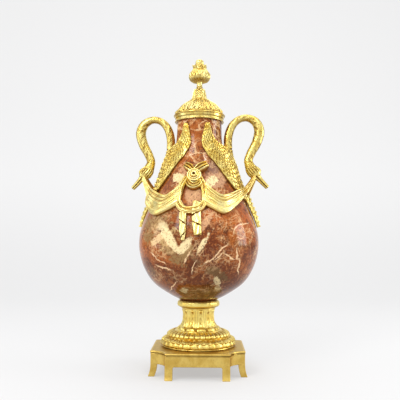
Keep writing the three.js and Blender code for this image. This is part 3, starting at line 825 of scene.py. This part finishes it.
def foot_block():
    """One foot beside a concave corner: splayed outward, with a hollow fillet under the skirt."""
    width, thick, splay, fillet, joint = 11.8, 10.7, 4.0, 3.0, 2.5
    rows = []
    for level in np.concatenate([[0, 0.25, 0.6], np.linspace(1.2, SKIRT + joint, 40)]):
        rise = max(0, level - (SKIRT - fillet)) / fillet
        grow = fillet * (1 - math.sqrt(max(0, 1 - rise ** 2))) if level <= SKIRT else fillet
        out = splay * (1 - min(level, SKIRT) / SKIRT) ** 2
        trim = 0.35 * (1 - min(level / 0.6, 1))
        x0, x1 = 0.1 + trim, width + grow - trim
        y0, y1 = -out + 0.72 + trim, thick - out - trim
        ring = []
        for cx, cy, start, e in [(x1, y0, -90, 0.5), (x1, y1, 0, 0.5), (x0, y1, 90, 0.5), (x0, y0, 180, 1.8)]:
            cx += e if start in (90, 180) else -e
            cy += e if start in (-90, 180) else -e
            for k in range(5):
                w = math.radians(start + 22.5 * k)
                ring.append((cx + e * math.cos(w), cy + e * math.sin(w), level))
        rows.append(ring)
    return np.array(rows) + [CORNER - PLINTH_HALF, -PLINTH_HALF, 0]


# ------------------------ materials

class Nodes:
    """Shorthand for building a node tree."""

    def __init__(self, owner):
        owner.use_nodes = True
        self.tree = owner.node_tree
        self.tree.nodes.clear()

    def add(self, kind, **values):
        """A new node; each value sets its property of that name, or else its input, _ for a space."""
        node = self.tree.nodes.new("ShaderNode" + kind)
        for key, value in values.items():
            if hasattr(node, key):
                setattr(node, key, value)
            else:
                self.put(node.inputs[key.replace("_", " ")], value)
        return node

    def put(self, socket, value):
        if isinstance(value, bpy.types.NodeSocket):
            self.tree.links.new(value, socket)
        else:
            socket.default_value = value

    def math(self, operation, a, b=0.0):
        node = self.tree.nodes.new("ShaderNodeMath")
        node.operation = operation
        self.put(node.inputs[0], a)
        self.put(node.inputs[1], b)
        return node.outputs[0]

    def chain(self, operation, first, *others):
        for other in others:
            first = self.math(operation, first, other)
        return first

    def times(self, *factors):
        return self.chain("MULTIPLY", *factors)

    def step(self, value, low, high, to=(0.0, 1.0)):
        names = ("Value", "From Min", "From Max", "To Min", "To Max")
        node = self.add("MapRange", interpolation_type="SMOOTHSTEP")
        for name, part in zip(names, (value, low, high, *to)):
            self.put(node.inputs[name], part)
        return node.outputs[0]

    def mix(self, factor, a, b):
        node = self.add("Mix", data_type="RGBA")
        for index, value in ((0, factor), (6, a), (7, b)):
            self.put(node.inputs[index], value)
        return node.outputs[2]

    def noise(self, vector, scale, detail, roughness, output="Fac", distortion=0.0):
        node = self.add("TexNoise", Vector=vector, Scale=scale, Detail=detail, Roughness=roughness,
                        Distortion=distortion)
        return node.outputs[output]

    def cracks(self, vector, scale):
        """Distance to the nearest edge in a net of cells."""
        node = self.add("TexVoronoi", feature="DISTANCE_TO_EDGE", Vector=vector, Scale=scale)
        return node.outputs["Distance"]

    def vector(self, operation, *values):
        node = self.add("VectorMath", operation=operation)
        for socket, value in zip(node.inputs, values):
            self.put(socket, value)
        return node.outputs[0]

    def split(self, vector):
        return self.add("SeparateXYZ", Vector=vector).outputs

    def end(self, shader, output="OutputMaterial"):
        self.add(output, Surface=shader.outputs[0])


def srgb(r, g, b):
    def linear(v):
        v /= 255
        return v / 12.92 if v <= 0.04045 else ((v + 0.055) / 1.055) ** 2.4
    return (linear(r), linear(g), linear(b), 1.0)


def gilt(name, bright, base, dark, rough, bump, wear):
    """Fire-gilt bronze in cloudy lighter and darker tones with worn patches, brown in the hollows with patina
    and painted shade, and painted shade on the faces that look down.
    """
    material = bpy.data.materials.new(name)
    n = Nodes(material)
    coords = n.add("TexCoord").outputs["Object"]
    deep = n.add("Attribute", attribute_name="patina_and_shade").outputs["Fac"]
    cloud = n.noise(coords, 55, 4, 0.6)
    fine = n.noise(coords, 620, 2, 0.6)
    dark = srgb(*dark)
    color = n.mix(n.step(cloud, 0.35, 0.65), srgb(*base), srgb(*bright))
    # brown in the hollows from patina and painted shade; painted shade also on the mounts' backs, neck
    # streaks and the slit of the bill
    color = n.mix(n.step(deep, 0.08, 0.75, (0.0, 0.92)), color, dark)
    color = n.mix(n.step(fine, 0.58, 0.80, (0.0, 0.30)), color, dark)
    worn = n.noise(coords, 260, 4, 0.7)
    color = n.mix(n.step(worn, 0.50, 0.64, (0.0, wear)), color, dark)
    normal = n.split(n.add("NewGeometry").outputs["Normal"])
    color = n.mix(n.step(normal[2], -0.05, -0.9, (0.0, 0.7)), color, dark)  # painted shade on the faces that look down
    roughness = n.math("ADD", n.step(cloud, 0.3, 0.7, (rough, rough + 0.12)), n.times(deep, 0.25))
    bumps = n.add("Bump", Strength=bump, Distance=0.0004, Height=n.noise(coords, 420, 4, 0.7))
    n.end(n.add("BsdfPrincipled", Metallic=1.0, Base_Color=color, Roughness=roughness,
                Normal=bumps.outputs[0]))
    return material


def turned_axes(n, x, z, c, s):
    """How far x and z reach along and across the direction that has this cosine and sine."""
    return n.math("ADD", n.times(x, c), n.times(z, s)), n.math("SUBTRACT", n.times(z, c), n.times(x, s))


def patch(n, coords, centre, radii, warp, ragged, tilt):
    """1 inside a ragged oval in the marble and 0 outside it; centre and radii in mm, tilt in degrees."""
    parts = n.split(coords)
    x, y, z = (n.math("SUBTRACT", parts[k], centre[k] * MM) for k in range(3))
    tilt = math.radians(tilt)
    along, across = turned_axes(n, x, z, math.cos(tilt), math.sin(tilt))
    terms = [n.math("POWER", n.math("DIVIDE", reach, radius * MM), 2.0)
             for reach, radius in zip((along, y, across), radii)]
    terms.append(n.times(n.math("SUBTRACT", warp, 0.5), 9 * ragged))
    return n.step(n.chain("ADD", *terms), 1.35, 0.65)


def vein(n, coords, start, end, width, warp):
    """1 on a wandering line between two places (x, z in mm) on the front of the vessel."""
    parts = n.split(coords)
    length = math.hypot(end[0] - start[0], end[1] - start[1])
    x = n.math("SUBTRACT", n.math("DIVIDE", parts[0], MM), start[0])
    z = n.math("SUBTRACT", n.math("DIVIDE", parts[2], MM), start[1])
    along, across = turned_axes(n, x, z, (end[0] - start[0]) / length, (end[1] - start[1]) / length)
    across = n.math("ADD", across, n.times(n.math("SUBTRACT", warp, 0.5), 16.0))
    on = n.step(n.math("ABSOLUTE", across), width, 0.35 * width)
    ends = n.times(n.step(along, -4.0, 4.0), n.step(along, length + 4.0, length - 4.0))
    front = n.step(n.times(parts[1], -1 / MM), 5.0, 15.0)
    return n.times(on, ends, front)


ORANGE, UMBER, BROWN = (178, 92, 46), (92, 38, 22), (100, 66, 40)
OLIVE, CREAM, PINK = (144, 114, 80), (236, 216, 186), (200, 152, 126)
# Broad tones of the marble: centre and radii in mm, colour, tilt in degrees. Centres with y < 0 lie in front.
TONES = [
    ((72, -50, 232), (24, 40, 30), ORANGE, 0),
    ((6, -80, 243), (30, 40, 12), ORANGE, 0),
    ((10, -60, 126), (36, 40, 9), BROWN, 0),
    ((20, -80, 205), (24, 40, 26), UMBER, 30),
    ((46, -70, 150), (40, 40, 24), UMBER, -25),
    ((-30, -80, 158), (40, 40, 14), UMBER, -10),
    ((30, 80, 180), (44, 40, 26), UMBER, 20),
    ((-50, 70, 220), (30, 40, 22), ORANGE, 0),
]
# Healed places in the marble, the same way, with how ragged the edge is before the tilt.
HEALED = [
    ((-62, -60, 226), (24, 40, 20), OLIVE, 0.9, 30),
    ((-42, -80, 192), (26, 30, 9), OLIVE, 0.9, -48),
    ((-16, -80, 188), (18, 30, 7), OLIVE, 0.9, 48),
    ((26, -80, 160), (20, 30, 6), (112, 84, 56), 1.2, -30),
    ((-46, -78, 213), (25, 34, 15), (182, 150, 112), 1.4, -50),
    ((-60, -70, 209), (12, 34, 5), (220, 190, 156), 0.8, 38),
    ((-50, -70, 226), (10, 30, 7), (206, 186, 156), 0.6, 0),
    ((-41, -78, 209), (23, 30, 7.5), CREAM, 0.35, -56),
    ((-18, -84, 200), (17, 30, 6.5), CREAM, 0.35, 48),
    ((9, -88, 230), (22, 30, 5), PINK, 0.6, 52),
    ((8, -88, 203), (20, 30, 3.5), CREAM, 0.7, 58),
    ((-6, -70, 274), (13, 30, 16), PINK, 0.4, 0),
    ((26, -60, 300), (17, 30, 15), (186, 142, 122), 0.5, 0),
    ((21, -66, 297), (11, 26, 8), CREAM, 0.6, 40),
    ((-30, -56, 303), (9, 26, 9), CREAM, 0.7, 0),
    ((-24, -56, 314), (9, 26, 6), PINK, 0.6, 0),
    ((24, -50, 320), (12, 26, 10), (134, 100, 96), 0.6, 0),
    ((-20, -76, 131), (7, 24, 5), CREAM, 0.8, 0),
    ((29, -74, 141), (4.5, 24, 13), CREAM, 1.0, 14),
    ((40, 74, 206), (20, 30, 9), CREAM, 0.6, -40),
    ((-30, 84, 178), (22, 30, 7), PINK, 0.7, 35),
    ((-8, 80, 150), (26, 30, 10), OLIVE, 0.7, -20),
    ((12, 56, 318), (12, 26, 9), PINK, 0.6, 0),
]
# Larger veins on the front: places as x and z, and half width.
VEINS = [
    ([(10, 174), (24, 182), (43, 201)], 1.4),
    ([(26, 179), (37, 187), (54, 182)], 1.1),
    ([(57, 195), (59, 179), (61, 158)], 1.3),
    ([(52, 218), (60, 229), (74, 236)], 1.1),
    ([(-63, 170), (-40, 164)], 1.1),
    ([(-9, 160), (-2, 178)], 0.9),
    ([(-20, 174), (-13, 192)], 0.9),
    ([(-43, 131), (-31, 145)], 1.0),
    ([(-70, 188), (-48, 172)], 0.9),
]
NET_FROM, NET_FULL = 0.312, 0.335  # heights in metres between which the neck's net of veins sets in


def marble():
    """Red-brown marble, broken up and healed with cream calcite."""
    material = bpy.data.materials.new("marble")
    n = Nodes(material)
    coords = n.add("TexCoord").outputs["Object"]
    wander = n.noise(coords, 30, 5, 0.62, "Color")
    bent = n.vector("MULTIPLY_ADD", wander, (0.03, 0.03, 0.03), coords)
    broad = n.noise(coords, 14, 3, 0.55)
    medium = n.noise(bent, 60, 5, 0.65)
    grain = n.noise(bent, 270, 5, 0.7)
    ragged = n.noise(bent, 70, 7, 0.75)
    color = n.mix(n.step(broad, 0.40, 0.60), srgb(112, 54, 22), srgb(160, 86, 36))
    for centre, radii, tone, tilt in TONES:
        color = n.mix(n.times(patch(n, coords, centre, radii, ragged, 0.6, tilt), 0.7), color, srgb(*tone))
    for pattern, low, high, most, tone in [
        (medium, 0.50, 0.62, 0.70, (74, 35, 16)),
        (grain, 0.52, 0.60, 0.50, (190, 122, 74)),
        (grain, 0.47, 0.39, 0.55, (62, 28, 16)),
    ]:
        color = n.mix(n.step(pattern, low, high, (0.0, most)), color, srgb(*tone))
    grey = n.step(n.noise(coords, 24, 4, 0.6, distortion=0.4), 0.57, 0.68)
    color = n.mix(n.times(grey, 0.6), color, srgb(122, 100, 80))

    speckle = n.step(grain, 0.36, 0.52, (0.45, 1.0))
    for centre, radii, tone, edge, tilt in HEALED:
        mask = n.times(patch(n, coords, centre, radii, ragged, edge, tilt), speckle)
        color = n.mix(mask, color, srgb(*tone))
    color = n.mix(n.step(grain, 0.46, 0.38, (0.0, 0.45)), color, srgb(96, 50, 30))

    for scale, width, strength in ((30, 0.030, 0.75), (75, 0.05, 0.6), (170, 0.07, 0.5)):
        thick = n.times(n.noise(coords, 60, 3, 0.6), width * 2.2)
        on = n.step(n.cracks(bent, scale), thick, 0.0)
        present = n.step(n.noise(bent, 34, 4, 0.6), 0.46, 0.62, (0.0, strength))
        color = n.mix(n.times(on, present), color, srgb(224, 184, 150))
    height = n.split(coords)[2]
    net = n.step(n.cracks(bent, 62.0), n.times(grain, 0.22), 0.0)
    above = n.times(n.step(height, NET_FROM, NET_FULL), n.step(medium, 0.40, 0.52))
    color = n.mix(n.times(net, above, 0.8), color, srgb(232, 196, 166))
    color = n.mix(n.step(height, 0.195, 0.130, (0.0, 0.45)), color, srgb(70, 40, 18))  # painted shade: darker low down, where less light reaches the belly

    crossing = n.noise(bent, 42, 4, 0.6)
    masks = [vein(n, coords, start, end, width, crossing)
             for places, width in VEINS for start, end in zip(places, places[1:])]
    color = n.mix(n.times(n.chain("MAXIMUM", *masks), 0.85), color, srgb(238, 204, 178))

    warmer = n.vector("MULTIPLY", color, (1.10, 1.06, 0.80))
    bumps = n.add("Bump", Strength=0.05, Distance=0.0002, Height=medium)
    n.end(n.add("BsdfPrincipled", Base_Color=warmer, Specular_IOR_Level=0.24,
                Roughness=n.step(medium, 0.3, 0.7, (0.08, 0.13)), Normal=bumps.outputs[0]))
    return material


# ------------------------ studio, in metres

# Name, place, width, height and watts of each soft box; all of them face the middle of the urn.
LIGHTS = [
    ("key", (-0.75, -1.05, 1.15), 0.6, 0.6, 9),
    ("side_right", (1.25, -0.06, 0.48), 0.50, 0.65, 6),
    ("glint", (0.42, -0.72, 1.25), 0.16, 0.16, 1.2),
    ("fill_left", (-1.4, -0.2, 0.5), 0.5, 1.1, 3),
    ("top", (0.1, 0.2, 1.9), 1.4, 1.4, 8),
]
URN_MIDDLE = (0, 0, 0.25)
DIM = 0.20  # strength of the surroundings at the sides, once for each axis below
# The surroundings get brighter toward the front and upward: axis, where it starts and ends, how much.
BRIGHTER = [(1, -0.2, -0.9, 0.34), (2, 0.1, 0.8, 0.52)]
WHITE = (1.0, 1.0, 1.0, 1.0)
PAPER, PAPER_GLOW = (0.32, 0.32, 0.323, 1.0), (0.46, 0.56)


def paper():
    """A pale sheet that glows a little, more toward the top."""
    material = bpy.data.materials.new("sweep")
    n = Nodes(material)
    height = n.split(n.add("TexCoord").outputs["Object"])[2]
    n.end(n.add("BsdfPrincipled", Roughness=0.9, Base_Color=PAPER, Emission_Color=WHITE,
                Emission_Strength=n.step(height, -0.05, 0.6, PAPER_GLOW)))
    return material


def sweep():
    """Floor that turns up into a backdrop, one smooth sheet."""
    near, start, bend, top = -3.5, 1.0, 0.9, 4.0
    turn = np.linspace(0.1, math.pi / 2, 12)
    y = [near, start, *(start + bend * np.sin(turn)), start + bend]
    z = [0.0, 0.0, *(bend * (1 - np.cos(turn))), top]
    points, faces = [], []
    for i, (depth, height) in enumerate(zip(y, z)):
        wide = 3.5 if height == 0 else 1.6
        points += [(-wide, depth, height), (wide, depth, height)]
        if i:
            faces.append((2 * i - 2, 2 * i - 1, 2 * i + 1, 2 * i))
    mesh = bpy.data.meshes.new("sweep")
    mesh.from_pydata(points, [], faces)
    mesh.shade_smooth()
    mesh.materials.append(paper())
    in_scene("sweep", mesh)


def soft_box(name, place, width, height, watts):
    light = bpy.data.lights.new(name, "AREA")
    light.energy = watts
    light.shape = "RECTANGLE"
    light.size = width
    light.size_y = height
    obj = in_scene(name, light)
    obj.location = place
    obj.rotation_euler = (Vector(URN_MIDDLE) - Vector(place)).to_track_quat("-Z", "Y").to_euler()


def studio():
    """A pale room, dimmer at the sides than in front and above, with soft boxes."""
    scene = bpy.context.scene
    scene.view_settings.view_transform = "Standard"
    scene.world = bpy.data.worlds.new("studio")
    n = Nodes(scene.world)
    facing = n.split(n.add("TexCoord").outputs["Generated"])
    ramps = [n.step(facing[axis], low, high, (DIM, DIM + more)) for axis, low, high, more in BRIGHTER]
    n.end(n.add("Background", Color=WHITE, Strength=n.math("ADD", *ramps)), "OutputWorld")
    sweep()
    for light in LIGHTS:
        soft_box(*light)


def camera():
    """The photo's view: level, low, a little to the right of the front, the lens shifted upward."""
    distance, height = 0.873, 0.200
    around, roll = math.radians(1.0), math.radians(0.28)
    data = bpy.data.cameras.new("camera")
    data.sensor_width = 36
    data.lens = 48.9
    data.shift_x, data.shift_y = 0.0030, 0.1130
    obj = in_scene("camera", data)
    obj.matrix_world = (
        Matrix.Translation((distance * math.sin(around), -distance * math.cos(around), height))
        @ Matrix.Rotation(around, 4, "Z")
        @ Matrix.Rotation(math.pi / 2, 4, "X")
        @ Matrix.Rotation(roll, 4, "Z")
    )
    bpy.context.scene.camera = obj


# ------------------------ the urn

# Colours of the gilding: bright, base and dark; then roughness, grain and wear.
satin = gilt("satin_gilt", (226, 196, 108), (206, 170, 82), (118, 84, 30), 0.32, 0.10, 0.14)
bright = gilt("bright_gilt", (254, 238, 156), (246, 214, 114), (122, 78, 20), 0.22, 0.30, 0.48)
deep_gold = gilt("deep_gilt", (250, 230, 138), (238, 206, 104), (176, 132, 52), 0.27, 0.22, 0.24)
plumage = gilt("plumage_gilt", (254, 236, 146), (242, 210, 106), (134, 90, 28), 0.24, 0.16, 0.26)
cloth = gilt("cloth_gilt", (255, 243, 172), (252, 228, 136), (158, 102, 36), 0.27, 0.12, 0.30)
stone = marble()

make_plinth(satin)
make_socle(deep_gold)
make_body(stone)
make_collar(bright)
make_lid(bright)
make_finial(bright)
make_swan("swan_right", 0.0, plumage)
make_swan("swan_left", math.pi, plumage)
make_front_festoon(cloth)
make_back_festoon(cloth)

studio()
camera()

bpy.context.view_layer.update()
